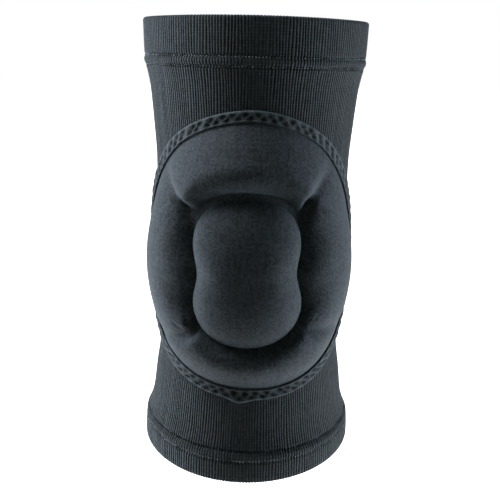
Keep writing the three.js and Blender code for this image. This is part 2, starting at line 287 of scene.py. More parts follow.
def rib_knit():
    """Black knit: each loop is a half sine along the rib, highest on the rib's crest, with its own grey;
    the colour paints the loop tips paler and the valleys darker, as highlight and shade.
    """
    material, tree = new_material("nylon elastane rib knit")
    rib_count, along_mm = weave_axes(tree)
    rib_turn = weigh(tree, 0.0, (rib_count, 2 * math.pi))
    crest = weigh(tree, 0.5, (add(tree, "ShaderNodeMath", {0: rib_turn}, operation="COSINE"), -0.5))
    # Loops are drawn coarser than the real 0.7 mm ones, which would be lost between pixels.
    course = weigh(tree, 0.0, (along_mm, 1 / COURSE_MM))
    loop_share = add(tree, "ShaderNodeMath", {0: course}, operation="FRACT")
    half_turn = weigh(tree, 0.0, (loop_share, math.pi))
    loop_arch = add(tree, "ShaderNodeMath", {0: half_turn}, operation="SINE")
    loop_tip = add(tree, "ShaderNodeMath", {0: loop_arch, 1: crest}, operation="MULTIPLY")
    grain = loop_grain(tree, rib_count, course)
    lint, patch = lint_noise(tree, LINT_MM, 2.0), lint_noise(tree, PATCH_MM, 3.0)
    # Painted light: loop tips and crests are painted paler as highlight, and the valleys darker as shade.
    bright = weigh(tree, 0.0, (loop_tip, 0.55), (crest, 0.1), (grain, 0.42), (lint, 0.3), (patch, 0.15))
    colour = add(tree, "ShaderNodeValToRGB", {0: bright}, stops=[(0.15, "#060606"), (1.0, "#282a29")])
    relief = weigh(tree, 0.0, (loop_tip, 1.0), (lint, 0.6), (grain, 0.3))
    cloth_shader(tree, colour, relief, relief_mm=0.25, roughness=0.85, sheen=0.16)
    return material


knit_material = rib_knit()

# %% [markdown]
# ## Ribs
# About 220 ribs run round the tube, whatever its width, so they are wider at the thigh than at the
# narrow below the knee. They could be a wave in a modifier, but knitted ribs are never ruled lines. So
# each is six columns of points on a half-round profile with a depth of its own, and all of them wander
# a little together.

# %% Ribs round the tube
RIBS, RIB_COLUMNS = 220, 6
RIB_DEPTH, SHALLOWEST_RIB, DEEPEST_RIB = 0.36, 0.6, 1.2
WANDER_RIBS = 0.25
RIB_WAVES = np.array(
    [(0.5, 23, 9), (0.3, 41, -14), (0.2, 67, 6)],
    dtype=[("weight", float), ("waves_round", float), ("drift_mm", float)],
)
knit_columns = RIBS * RIB_COLUMNS
turns = 2 * np.pi * np.arange(knit_columns) / knit_columns
rib_share = (np.arange(knit_columns) % RIB_COLUMNS) / RIB_COLUMNS
rib_profile = np.sqrt(1 - (2 * rib_share - 1) ** 2)
rib_strength = np.random.default_rng(3).uniform(SHALLOWEST_RIB, DEEPEST_RIB, RIBS)
rib_fall = RIB_DEPTH * np.repeat(rib_strength, RIB_COLUMNS) * (rib_profile - 1)


def wander(level):
    """Small turn of the ribs at each level: three sines of whole waves round the leg, all drifting along
    it, so that ribs crowd and spread but never cross."""
    level = np.asarray(level)[..., None]
    waves = 0.0
    for wave in RIB_WAVES:
        waves = waves + wave["weight"] * np.sin(wave["waves_round"] * turns + level / wave["drift_mm"])
    return turns + WANDER_RIBS * 2 * np.pi / RIBS * waves


print(f"{RIBS} ribs, the deepest valley {-rib_fall.min():.2f} mm")

# %% [markdown]
# ## Rows of stitches
# Two rows of coverstitch hold each hem. Thread under tension pulls the knit in along a row, most of all
# at the needle holes, and the knit between the two rows swells. Dents could be painted as dark lines,
# but as a part of the height they catch light and shade from every side.

# %% Dents of the stitch rows
# The lower hem's upper row sits in the deepest dent; its thread greys, darkest to palest, are painted dark
# as the shade in that dent.
STITCH_ROWS = np.array(
    [(94.5, 0.6, 0.2, 0.9), (89.5, 0.7, 0.2, 0.8), (-100.2, 1.1, 0.0, 0.35), (-105.0, 0.4, 0.1, 0.8)],
    dtype=[("level", float), ("dent", float), ("darkest", float), ("palest", float)],
)
DENT_WIDTH, HOLE_SHARE = 0.7, 0.5
BAND_RISE, BAND_HALF_WIDTH = 0.45, 1.6
STITCH_PITCH, STITCH_SHARE = 1.7, 0.5


def stitches_in(row):
    """Whole number of stitches that fit round the leg in a row."""
    return round(2 * np.pi * float(half_width(row["level"])) / STITCH_PITCH)


def stitch_dent(level):
    """The knit is pulled in along each row of stitches, a narrow bell for each row that is deepest at the
    needle holes between two stitches, and swells between the two rows of a hem."""
    level = np.asarray(level)[:, None]
    height = np.zeros((len(level), knit_columns))
    for row in STITCH_ROWS:
        hole = np.cos(stitches_in(row) * turns - np.pi * (1 + STITCH_SHARE))
        bell = np.exp(-((level - row["level"]) / DENT_WIDTH) ** 2)
        height -= row["dent"] * bell * (1 + HOLE_SHARE * hole)
    for middle in (STITCH_ROWS["level"][::2] + STITCH_ROWS["level"][1::2]) / 2:
        height += BAND_RISE * np.exp(-((level - middle) / BAND_HALF_WIDTH) ** 2)
    return height


print("stitches in each row:", [stitches_in(row) for row in STITCH_ROWS])

# %% [markdown]
# ## The sleeve
# The sleeve is one ply of knit between the two hems. A single sheet with Solidify would have the same
# ribs inside as outside. Here the wall is a closed ring of its own: up the outside with deep ribs, down
# the inside with flatter ones. Its rings lie close together near the stitches, where the dents are.

# %% Sleeve of rib knit
KNIT_PLY = 1.8
INSIDE_RIB_SHARE = 0.4
SEAM_GAP = 0.06
FINE_STEP, SLEEVE_FINE_BAND = 0.4, 3.2
SLEEVE_RINGS, SLEEVE_INSIDE_RINGS = 34, 14


def knit_uv(along):
    """UV of a knit wall: ribs counted round it, millimetres along it."""
    ribs = np.linspace(0, RIBS, knit_columns + 1)
    return np.stack(np.meshgrid(ribs, along), axis=-1)


from_seam_mm = SEAM_GAP + np.arange(0, SLEEVE_FINE_BAND, FINE_STEP)
near_low, near_high = LOWER_SEAM + from_seam_mm, UPPER_SEAM - from_seam_mm[::-1]
between = np.linspace(near_low[-1], near_high[0], SLEEVE_RINGS)[1:-1]
outside_levels = np.concatenate([near_low, between, near_high])
inside_levels = np.linspace(outside_levels[-1], outside_levels[0], SLEEVE_INSIDE_RINGS)
outside = on_knit(
    wander(outside_levels), outside_levels[:, None], rib_fall + stitch_dent(outside_levels))
inside = on_knit(
    wander(inside_levels), inside_levels[:, None], -KNIT_PLY - INSIDE_RIB_SHARE * rib_fall)
wall_uv = knit_uv(np.concatenate([outside_levels, inside_levels, outside_levels[:1]]))
sleeve = cloth_mesh("sleeve_rib_knit", np.concatenate([outside, inside]), wall_uv, close_rows=True)

# %% [markdown]
# ## The hems
# Each end of the tube is turned in once and coverstitched, so the hem is two plies with a round fold.
# A solid ring would look like rubber. Carrying the rib profile out, over the fold and back inside keeps
# it a knit, and the dents of the stitch rows pull it in where the thread bites.

# %% Hems of rib knit
TOP_LEVEL, BOTTOM_LEVEL = 114.0, -116.5
TOP_CROWN, BOTTOM_CROWN, BOTTOM_TILT = 1.3, -1.8, 0.6
HEM_FINE_BAND, HEM_RINGS, FOLD_RINGS, HEM_INSIDE_RINGS = 7.2, 6, 9, 5


def hem(name, seam, edge, crown, tilt):
    """Profile carried round the leg: along the outer ply with its dents, round a half circle at the fold,
    and back along the inner ply. Each ring has a level, a fall towards the leg, and the shares of the
    ribs that point outward and endward. The crown lifts the front and back of the edge, the tilt one
    side."""
    direction = np.sign(edge - seam)
    fold = edge - direction * KNIT_PLY
    near_seam = seam + direction * np.arange(0, HEM_FINE_BAND, FINE_STEP)
    outer_levels = np.concatenate([near_seam, np.linspace(near_seam[-1], fold, HEM_RINGS)[1:]])
    angles = np.linspace(0, np.pi, FOLD_RINGS)[1:-1]
    fold_levels = fold + direction * KNIT_PLY * np.sin(angles)
    outer_ones, inner_ones = np.ones(len(outer_levels)), np.ones(HEM_INSIDE_RINGS)
    level = np.concatenate([outer_levels, fold_levels, np.linspace(fold, seam, HEM_INSIDE_RINGS)])
    fall = np.concatenate([0 * outer_ones, KNIT_PLY * (np.cos(angles) - 1), -2 * KNIT_PLY * inner_ones])
    outward = np.concatenate([outer_ones, np.cos(angles), -INSIDE_RIB_SHARE * inner_ones])
    endward = np.concatenate([0 * outer_ones, direction * np.sin(angles), 0 * inner_ones])
    lift = (level - seam) / (edge - seam)
    rim = crown * np.cos(turns) ** 2 + tilt * np.sin(turns)
    ring_level = level[:, None] + endward[:, None] * rib_fall + lift[:, None] * rim
    on_outer_ply = (fall == 0)[:, None]
    height = fall[:, None] + on_outer_ply * stitch_dent(level) + outward[:, None] * rib_fall
    points = on_knit(wander(level), ring_level, height)
    along = np.cumsum(np.hypot(np.diff(level, prepend=level[0]), np.diff(fall, prepend=fall[0])))
    along = seam + direction * np.append(along, along[-1] + 2 * KNIT_PLY)
    if direction < 0:
        points, along = points[::-1], along[::-1]
    return cloth_mesh(name, points, knit_uv(along), close_rows=True)


upper_hem = hem("upper_hem_knit", UPPER_SEAM, TOP_LEVEL, TOP_CROWN, 0.0)
lower_hem = hem("lower_hem_knit", LOWER_SEAM, BOTTOM_LEVEL, BOTTOM_CROWN, BOTTOM_TILT)
for piece in (sleeve, upper_hem, lower_hem):
    piece.data.materials.append(knit_material)

# %% [markdown]
# ## Thread
# The coverstitch is sewn with spun polyester, a little paler and smoother than the knit. One grey for
# all of it would look drawn on. Twisted thread answers light unevenly, so every stitch carries a grey
# of its own in its UV, and the material only turns that into a colour.

# %% Thread material
THREAD_FUZZ_MM = 0.4


def sewing_thread():
    """Grey thread: mostly each stitch's own grey, with a little fuzz."""
    material, tree = new_material("spun polyester thread")
    stitch_grey, _ = weave_axes(tree)
    fuzz = lint_noise(tree, THREAD_FUZZ_MM, 2.0)
    bright = weigh(tree, 0.0, (stitch_grey, 0.7), (fuzz, 0.3))
    colour = add(tree, "ShaderNodeValToRGB", {0: bright}, stops=[(0.25, "#1c1f1f"), (0.95, "#9aa2a4")])
    cloth_shader(tree, colour, fuzz, relief_mm=0.1, roughness=0.6, sheen=0.03)
    return material


thread_material = sewing_thread()

# %% [markdown]
# ## Coverstitch
# A coverstitch shows two rows of short straight stitches on the outside. They catch the light as small
# pale dots. A dashed texture would be flat, so each stitch is a short bowed pill of thread, placed by
# the same surface function that made the knit, and all the stitches of a hem are one mesh.

# %% Stitches
STITCH_RINGS, THREAD_SIDES = 6, 6
THREAD_RADIUS, STITCH_BOW, STITCH_END = 0.3, 0.25, 0.04
STITCH_JITTER, STITCH_LIFT, DEEPEST_SINK = 0.1, 0.25, 0.25


def coverstitch(name, rows):
    """Every stitch is a pill along the turn: its thickness follows the root of a half sine, and it bows
    out of its dent by a half sine. Each sits a little off its row. All the rows share one mesh."""
    random = np.random.default_rng(5)
    t = np.linspace(0, 1, STITCH_RINGS)
    arch = np.sin(np.pi * np.clip(t, STITCH_END, 1 - STITCH_END))[:, None]
    thick = THREAD_RADIUS * np.sqrt(arch)
    round_angle = 2 * np.pi * np.arange(THREAD_SIDES) / THREAD_SIDES
    height = thick * np.sin(round_angle) + STITCH_BOW * arch + STITCH_LIFT
    stitches, greys = [], []
    for row in rows:
        count = stitches_in(row)
        step = 2 * np.pi / count
        turn = step * np.arange(count)[:, None, None] + step * STITCH_SHARE * t[:, None]
        off_row = random.normal(0, STITCH_JITTER, (count, 1, 1))
        sink = random.uniform(0.0, DEEPEST_SINK, (count, 1, 1))
        level = row["level"] + off_row + thick * np.cos(round_angle)
        stitches.append(on_knit(turn, level, height - row["dent"] - sink))
        # A row's darkest and palest bound its stitches' greys; the dark bounds of the lower hem's upper row
        # are painted shade.
        greys.append(random.uniform(row["darkest"], row["palest"], count))
    return pills(name, np.concatenate(stitches), np.concatenate(greys))


def pills(name, points, greys):
    """Mesh of many short tubes (count, rings, sides, 3): quads along each, two quads on each end of six
    sides, and one grey for each tube as its UV."""
    count, rings, sides = points.shape[:3]
    index = np.arange(rings * sides).reshape(rings, sides)
    around = np.roll(index, -1, axis=1)
    tube = np.stack([index[:-1], index[1:], around[1:], around[:-1]], axis=-1).reshape(-1, 4)
    first, last = index[0], index[-1]
    caps = [first[[0, 1, 2, 3]], first[[0, 3, 4, 5]], last[[3, 2, 1, 0]], last[[5, 4, 3, 0]]]
    template = np.concatenate([tube, np.array(caps)])
    faces = (template + rings * sides * np.arange(count)[:, None, None]).reshape(-1, 4)
    uvs = np.repeat(np.column_stack([greys, greys]), template.size, axis=0)
    return make_piece(name, points.reshape(-1, 3), faces.ravel(), 4 * np.arange(len(faces)), uvs)


upper_stitches = coverstitch("upper_coverstitch", STITCH_ROWS[:2])
lower_stitches = coverstitch("lower_coverstitch", STITCH_ROWS[2:])
for piece in (upper_stitches, lower_stitches):
    piece.data.materials.append(thread_material)

# %% [markdown]
# ## The pad's flat pattern
# The pad is cut flat, moulded and sewn round the front of the sleeve. Its edge could be drawn in space,
# but its lines are easiest to draw on the flat pattern, where a millimetre across becomes a turn round
# the leg. The edge and the centre cell are superellipses.

# %% Edge of the pad and of its centre cell
PAD_LEVEL, PAD_RADIUS = -8.0, 51.0
CELL_TWIST, EDGE_TWIST, PAD_SHIFT = math.radians(1.6), math.radians(-2.5), math.radians(-1.7)
PAD_HALF_TURN, PAD_RISE, PAD_DROP = math.radians(88), 76.0, 62.0
PAD_TOP_POWER, PAD_BOTTOM_POWER = 1.8, 2.2
CENTRE_HALF_WIDTH, CENTRE_RISE, CENTRE_DROP, CENTRE_POWER = 27.2, 34.5, 32.5, 4.5
TOP_ARCH, BOTTOM_ARCH = 0.15, 0.25
WAIST, WAIST_RISE, WAIST_SPREAD = 0.115, 2.0, 9.0
BINDING_WIDTH = 6.0
LINE_POINTS = 181


def sewn(across, up, twist=CELL_TWIST):
    """Pattern place in millimetres, turned by the small twist that it is moulded or sewn on with."""
    turned_across = across * np.cos(twist) - up * np.sin(twist) + PAD_SHIFT * PAD_RADIUS
    turned_up = across * np.sin(twist) + up * np.cos(twist) + PAD_LEVEL
    return np.stack(np.broadcast_arrays(turned_across, turned_up), axis=-1)


def superellipse(angle, wide, rise, drop, top_power, bottom_power):
    """Reach in a direction is the power mean of the half sizes, with other heights and powers above and
    below the middle."""
    c, s = np.cos(angle), np.sin(angle)
    tall = np.where(s >= 0, rise, drop)
    power = np.where(s >= 0, top_power, bottom_power)
    reach = (np.abs(c / wide) ** power + np.abs(s / tall) ** power) ** (-1 / power)
    return reach * c, reach * s


def pad_edge(angle, inset):
    """Outer edge of the binding, or a line that lies inset millimetres inside it."""
    across, up = superellipse(angle, PAD_HALF_TURN * PAD_RADIUS - inset, PAD_RISE - inset,
                              PAD_DROP - inset, PAD_TOP_POWER, PAD_BOTTOM_POWER)
    return sewn(across, up, EDGE_TWIST)


def centre_edge(angle):
    """Edge of the centre cell: a squarish superellipse whose ends bow in shallow arches, drawn in by a
    bell at its waist."""
    across, up = superellipse(
        angle, CENTRE_HALF_WIDTH, CENTRE_RISE, CENTRE_DROP, CENTRE_POWER, CENTRE_POWER)
    up = up * (1 - np.where(up > 0, TOP_ARCH, BOTTOM_ARCH) * (across / CENTRE_HALF_WIDTH) ** 2)
    return sewn(across * (1 - WAIST * np.exp(-((up - WAIST_RISE) / WAIST_SPREAD) ** 2)), up)


line_angles = np.linspace(0, 2 * np.pi, LINE_POINTS)
ring_line = centre_edge(line_angles)
seam_line = pad_edge(line_angles, BINDING_WIDTH)
print("pad pattern, mm:", np.round(np.ptp(pad_edge(line_angles, 0), axis=0), 1))

# %% [markdown]
# ## Creases
# Four short creases run out from the corners of the centre cell and part the cells round it. The mould
# presses the foam towards these lines, so all that the foam needs to know of them is how far away they
# are. A curve with one bend gives each crease, and a distance to its straight pieces gives the rest.

# %% Creases and distances
CREASES = np.array(
    [
        (-27.5, 29.5, -32, 33, -48, 50, 4, 11),
        (28.5, 33, 29.5, 37.5, 46, 50, 4, 11),
        (-26, -27, -32, -30.5, -55.5, -36, 3, 7),
        (26, -23.5, 33, -26.5, 56.5, -33, 3, 7),
    ],
    dtype=[(column, float) for column in (
        "start_across", "start_up", "bend_across", "bend_up", "end_across", "end_up",
        "end_cell_rounding", "side_cell_rounding")],
)
CREASE_POINTS = 25


def crease_line(crease):
    """Quadratic curve from the centre cell's groove out towards the seam."""
    t = np.linspace(0, 1, CREASE_POINTS)
    across, up = (
        (1 - t) ** 2 * crease["start_" + name] + 2 * t * (1 - t) * crease["bend_" + name]
        + t * t * crease["end_" + name] for name in ("across", "up"))
    return sewn(across, up)


def distance_to(line, place):
    """Distance on the pattern from every place to the nearest straight piece of the line."""
    nearest = np.full(place.shape[:-1], np.inf)
    for start, end in zip(line[:-1], line[1:]):
        step = end - start
        t = np.clip((place - start) @ step / (step @ step), 0, 1)
        nearest = np.minimum(nearest, np.linalg.norm(place - start - t[..., None] * step, axis=-1))
    return nearest


crease_lengths = [np.linalg.norm(np.ptp(crease_line(crease), axis=0)) for crease in CREASES]
print("creases from end to end, mm:", np.round(crease_lengths, 1))

# %% [markdown]
# ## The cells
# The foam is pressed thin along the grooves and left thick between them. Each outer cell rounds over
# from its grooves in a quarter circle, as pressed foam does, and falls gently to the seam. The centre
# cell stands on a steep wall and has a broad crown. It could be sculpted, but heights that follow from
# distances to the lines stay smooth wherever two grooves meet.

# %% Height of the foam
FLANGE_TOP, GROOVE_HEIGHT = 2.3, 3.0
CENTRE_WALL, CENTRE_CROWN = 6.5, 6.5
WALL_ROUNDING, TOP_WALL_ROUNDING = 4.0, 12.0
CREASE_HALF_WIDTH, CREASE_DEPTH, CREASE_REACH = 0.6, 0.97, 250.0
OUTER_CELLS = np.array(
    [
        (16, 0.1, 3.8, 11, 0.4, 22, 1, 0.9),
        (12.5, 0, 1.5, 16, 0, 34, 0, 1),
        (13, -0.15, 1, 9, 1.1, 19, 0, 1.28),
    ],
    dtype=[(column, float) for column in (
        "height", "lobe", "groove_width", "inner_rounding", "end_sharpness", "seam_rounding",
        "straightness", "pull")],
)
CELL_PARTING = 8
HELD_WIDTH, HELD_CREASE = 1.0, 0.4


def mix(start, end, share):
    """Value that lies the given share of the way from start to end."""
    return start + (end - start) * share


def round_over(*shares):
    """Quarter circle from 0 at a groove to 1 where its share of the rounding is 1. Where two grooves
    meet, their shortfalls add like the sides of a right triangle, which rounds the corner."""
    short = np.sqrt(sum((1 - np.clip(share, 0, 1)) ** 2 for share in shares))
    return np.sqrt(1 - np.minimum(short, 1) ** 2)


def outer_cell_size(column, angle):
    """Size of the outer cell in a direction: high powers of sine and cosine weigh top, sides and bottom,
    and each cell's pull moves the change from one cell to the next to the crease between them."""
    s, c = np.sin(angle), np.cos(angle)
    weights = np.stack([np.clip(s, 0, 1), np.abs(c), np.clip(-s, 0, 1)], axis=-1)
    weights = (weights * OUTER_CELLS["pull"]) ** CELL_PARTING
    return weights @ OUTER_CELLS[column] / weights.sum(-1)


def crease_share(place, from_ring):
    """Part of the rounding that lies between a place and its nearest crease: the end cells rise in a
    short rounding, and the side cells in a long one. A cross product tells the two sides apart. The
    creases fade a little with the distance from the centre cell."""
    share = np.ones(place.shape[:-1])
    for crease in CREASES:
        line = crease_line(crease)
        chord, reach = line[-1] - line[0], place - line[0]
        cross = chord[0] * reach[..., 1] - chord[1] * reach[..., 0]
        in_end_cell = cross * crease["start_across"] * crease["start_up"] > 0
        rounding = np.where(in_end_cell, crease["end_cell_rounding"], crease["side_cell_rounding"])
        share = np.minimum(share, (distance_to(line, place) - CREASE_HALF_WIDTH) / rounding)
    depth = CREASE_DEPTH * (1 - np.clip(from_ring / CREASE_REACH, 0, 1))
    return 1 - depth * (1 - np.maximum(share, 0))


def centre_cell(angle, from_ring, centre_share):
    """Height of the centre cell: a wall that rounds over from the groove, more slowly at the top, and a
    crown that falls with the square of the way out from the middle."""
    wall_rounding = mix(WALL_ROUNDING, TOP_WALL_ROUNDING, np.clip(np.sin(angle), 0, 1) ** 2)
    wall = CENTRE_WALL * round_over(from_ring / wall_rounding)
    return GROOVE_HEIGHT + wall + CENTRE_CROWN * (1 - centre_share ** 2)


def outer_cells(angle, place, from_ring, from_seam):
    """Height of the outer cells: foam that rounds over from the groove and the creases, and slopes down
    to the flange at the seam. Also tells which points the groove and the creases hold down."""
    from_groove = from_ring - outer_cell_size("groove_width", angle)
    end_rounding = 1 - outer_cell_size("end_sharpness", angle) * np.cos(angle) ** 2
    ring_share = from_groove / (end_rounding * outer_cell_size("inner_rounding", angle))
    creased = crease_share(place, from_ring)
    lobe = 1 + outer_cell_size("lobe", angle) * np.cos(angle) ** 2
    foam = mix(GROOVE_HEIGHT, lobe * outer_cell_size("height", angle), round_over(ring_share, creased))
    seam_share = np.clip(from_seam / outer_cell_size("seam_rounding", angle), 0, 1)
    slope = mix(np.sin(np.pi / 2 * seam_share), seam_share, outer_cell_size("straightness", angle))
    return mix(FLANGE_TOP, foam, slope), (from_groove < 0) | (creased < HELD_CREASE)


print("outer cells, mm high:", OUTER_CELLS["height"])

# %% [markdown]
# ## The front of the pad
# The heights are worked out on a grid of spokes and rings, like a spider's web. A square grid would cut
# across the grooves in steps. On the web the rings follow the edge of the centre cell and the seam, and
# they crowd together there, where the foam is steep.

# %% Grid of the pad's front
SPOKES, RINGS = 288, 100
OUTER_PART = 0.6
SOFT_PASSES = 3


def cell_grid(angle, rings):
    """Front of the pad as pattern places and heights: rings go from the seam in to the centre cell's
    edge, and on to the middle of the pad. Also tells which points the seam, the groove and the creases
    hold down."""
    t = np.linspace(0, 1, rings)[:, None]
    outward = 0.5 + 0.5 * np.cos(np.pi * np.clip(t / OUTER_PART, 0, 1))
    centre_share = np.cos(np.pi / 2 * np.clip((t - OUTER_PART) / (1 - OUTER_PART), 0, 1))
    in_outer = t <= OUTER_PART
    ring = centre_edge(angle)
    outer_place = mix(ring, pad_edge(angle, BINDING_WIDTH), outward[..., None])
    centre_place = mix(sewn(0.0, 0.0), ring, centre_share[..., None])
    place = np.where(in_outer[..., None], outer_place, centre_place)
    from_ring, from_seam = distance_to(ring_line, place), distance_to(seam_line, place)
    outer_height, outer_held = outer_cells(angle, place, from_ring, from_seam)
    height = np.where(in_outer, outer_height, centre_cell(angle, from_ring, centre_share))
    held = (from_ring < HELD_WIDTH) | (from_seam < HELD_WIDTH) | (in_outer & outer_held)
    return place, height, held


def soften(height, passes):
    """Weighted mean of each height with its neighbours on the grid, repeated; the rim stays."""
    for _ in range(passes):
        across = (np.roll(height, 1, axis=1) + 2 * height + np.roll(height, -1, axis=1)) / 4
        height[1:-1] = (across[:-2] + 2 * across[1:-1] + across[2:]) / 4
    return height


spoke_angles = 2 * np.pi * np.arange(SPOKES) / SPOKES
cell_place, moulded_height, cell_held = cell_grid(spoke_angles, RINGS)
cell_height = soften(moulded_height, SOFT_PASSES)
print("foam, mm high: lowest", cell_height.min().round(1), "highest", cell_height.max().round(1))

# %% [markdown]
# ## The pad
# Behind the cells the foam has a plain back against the sleeve and a thin flange that the tape grips.
# The back could be left open, because nobody sees it, but an open shell has no inside for air pressure
# to fill. So the rings go on: out under the flange, round its edge, and over the front of the pad.

# %% Pad of foam cells
PUFF_START = 0.95
BACK_HEIGHT, FLANGE_UNDERSIDE = 0.5, 1.3
FLANGE_INSET, FLANGE_STEP = 1.6, 0.3
BACK_SHARES = np.array([0.0, 0.33, 0.66])
FLANGE_RINGS = np.array(
    [
        (BINDING_WIDTH + FLANGE_STEP, BACK_HEIGHT), (BINDING_WIDTH, FLANGE_UNDERSIDE),
        (FLANGE_INSET, FLANGE_UNDERSIDE), (FLANGE_INSET, FLANGE_TOP),
    ],
    dtype=[("inset", float), ("height", float)],
)


def on_leg(place, height):
    """Pattern place to a point: across becomes a turn, up becomes a level."""
    return on_knit(place[..., 0] / PAD_RADIUS, place[..., 1], height)


flange_place = pad_edge(spoke_angles, FLANGE_RINGS["inset"][:, None])
back_place = mix(sewn(0.0, 0.0), flange_place[0], BACK_SHARES[:, None, None])
pad_place = np.concatenate([back_place, flange_place, cell_place])
pad_height = np.concatenate([
    np.full(back_place.shape[:2], BACK_HEIGHT),
    np.broadcast_to(FLANGE_RINGS["height"][:, None], flange_place.shape[:2]),
    PUFF_START * cell_height,
])
pad_uv = np.concatenate([pad_place, pad_place[:, :1]], axis=1)
pad = cloth_mesh("bubble_pad_cells", on_leg(pad_place, pad_height), pad_uv, poles=True)

# %% [markdown]
# ## Puffing the cells
# Foam and jersey are soft. They are held down along the seam, the groove and the creases, and swell
# between those lines. Bumps made by hand would look stiff, so Blender's cloth solver blows the pad up
# with air pressure. It starts a little flatter than the mould, and a cap on how far a point may move
# keeps the pad in the room of its CAD solid.

# %% Cloth simulation of the pad
PUFF_PRESSURE, PUFF_FRAMES, PUFF_CAP = 250.0, 20, 1.5 * MM
PUFF_MASS, PUFF_STIFFNESS, PUFF_BENDING = 0.001, 1.0, 0.05
SMALLEST_MOVE = 1e-9


def puff(piece, held_points):
    """Run cloth with air pressure and no gravity, with some points pinned. Each point's move is shortened
    to the cap and written to the mesh."""
    piece.vertex_groups.new(name="held").add(held_points.tolist(), 1.0, "REPLACE")
    cloth = piece.modifiers.new("puff", "CLOTH")
    cloth.settings.vertex_group_mass = "held"
    cloth.settings.use_pressure = True
    cloth.settings.uniform_pressure_force = PUFF_PRESSURE
    cloth.settings.mass = PUFF_MASS
    cloth.settings.tension_stiffness = PUFF_STIFFNESS
    cloth.settings.compression_stiffness = PUFF_STIFFNESS
    cloth.settings.bending_stiffness = PUFF_BENDING
    cloth.settings.effector_weights.gravity = 0
    for number in range(1, PUFF_FRAMES + 1):
        bpy.context.scene.frame_set(number)
    puffed = piece.evaluated_get(bpy.context.evaluated_depsgraph_get()).data
    start = np.empty(3 * len(puffed.vertices), np.float32)
    end = np.empty_like(start)
    piece.data.vertices.foreach_get("co", start)
    puffed.vertices.foreach_get("co", end)
    move = (end - start).reshape(-1, 3)
    length = np.linalg.norm(move, axis=1, keepdims=True)
    move *= np.minimum(1, PUFF_CAP / np.maximum(length, SMALLEST_MOVE))
    piece.modifiers.remove(cloth)
    piece.data.vertices.foreach_set("co", start + move.ravel())
    piece.data.update()
    bpy.context.scene.frame_set(1)
    print("puffed, mm: mean", np.round(length.mean() / MM, 2), "most", np.round(length.max() / MM, 2))


# The back and the flange are held all over. The first and last rings are one vertex each in the mesh.
pad_held = np.concatenate([np.ones(pad_place.shape[:2], dtype=bool)[:-RINGS], cell_held])
held_number = np.flatnonzero(pad_held) - (SPOKES - 1)
puff(pad, np.unique(np.clip(held_number, 0, len(pad.data.vertices) - 1)))

# %% [markdown]
# ## Pad jersey
# The foam is faced with a fine polyester jersey that was bonded on before moulding. It is matt, with a
# short nap that turns pale where it is seen edge-on. Close up it is a grid of tiny loops: wales run up
# it and courses run across, and no two are quite as dark as each other. Plain noise would look like
# felt, so the loops are counted on the pad's flat pattern.

# %% Pad jersey material
WALE_MM, NAP_MM, CLOUD_MM, STREAK_MM = 0.8, 0.6, 9.0, 9.0


def pad_jersey():
    """Black jersey: nap, a grey for each loop, and faint streaks along wales and courses."""
    material, tree = new_material("bonded polyester jersey")
    across_mm, up_mm = weave_axes(tree)
    # Wales and courses are drawn wider than the real 0.5 mm ones, so that they show in the render.
    wale, course = weigh(tree, 0.0, (across_mm, 1 / WALE_MM)), weigh(tree, 0.0, (up_mm, 1 / WALE_MM))
    wale_turn = weigh(tree, 0.0, (wale, 2 * math.pi))
    wale_wave = add(tree, "ShaderNodeMath", {0: wale_turn}, operation="SINE")
    grain = loop_grain(tree, wale, course)
    wale_streak = loop_grain(tree, wale, weigh(tree, 0.0, (up_mm, 1 / STREAK_MM)))
    course_streak = loop_grain(tree, weigh(tree, 0.0, (across_mm, 1 / STREAK_MM)), course)
    nap, cloud = lint_noise(tree, NAP_MM, 3.0), lint_noise(tree, CLOUD_MM, 4.0)
    bright = weigh(tree, 0.0, (nap, 0.45), (cloud, 0.15), (grain, 0.28), (wale_streak, 0.08),
                   (course_streak, 0.06), (wale_wave, 0.05))
    colour = add(tree, "ShaderNodeValToRGB", {0: bright}, stops=[(0.25, "#0d0f10"), (0.85, "#3a3e41")])
    relief = weigh(tree, 0.0, (nap, 1.0), (grain, 0.5), (wale_wave, 0.2))
    cloth_shader(tree, colour, relief, relief_mm=0.12, roughness=0.8, sheen=0.065)
    return material


pad.data.materials.append(pad_jersey())

# %% [markdown]
# ## The zigzag that holds the tape
# A soft tape is folded over the pad's flange and sewn down with a zigzag. At the left and right points
# of the zigzag the needle pulls the tape into small leaning pits, in two staggered rows. A wave would
# repeat too neatly, so each pit is a bell of its own, set along the measured length of the edge.

# %% Pits of the zigzag
TAPE_TOP, TAPE_COLUMNS = 3.3, 1560
EDGE_POINTS = 4001
PIT_PITCH, PIT_DEPTH, PIT_LENGTH, PIT_WIDTH = 6.0, 0.9, 1.8, 1.5
PIT_LEAN, PIT_JITTER, SHALLOWEST_PIT = 1.3, 0.1, 0.65
PIT_ROWS = np.array([(2.2, 0.0), (4.2, 0.5)], dtype=[("inset", float), ("offset", float)])

edge_angles = np.linspace(-np.pi / 2, 1.5 * np.pi, EDGE_POINTS)
edge_points = on_leg(pad_edge(edge_angles, BINDING_WIDTH / 2), TAPE_TOP) / MM
edge_run = np.append(0, np.cumsum(np.linalg.norm(np.diff(edge_points, axis=0), axis=1)))
edge_length = edge_run[-1]
tape_run = np.linspace(0, edge_length, TAPE_COLUMNS, endpoint=False)
tape_angles = np.interp(tape_run, edge_run, edge_angles)
pits_round = round(edge_length / PIT_PITCH)


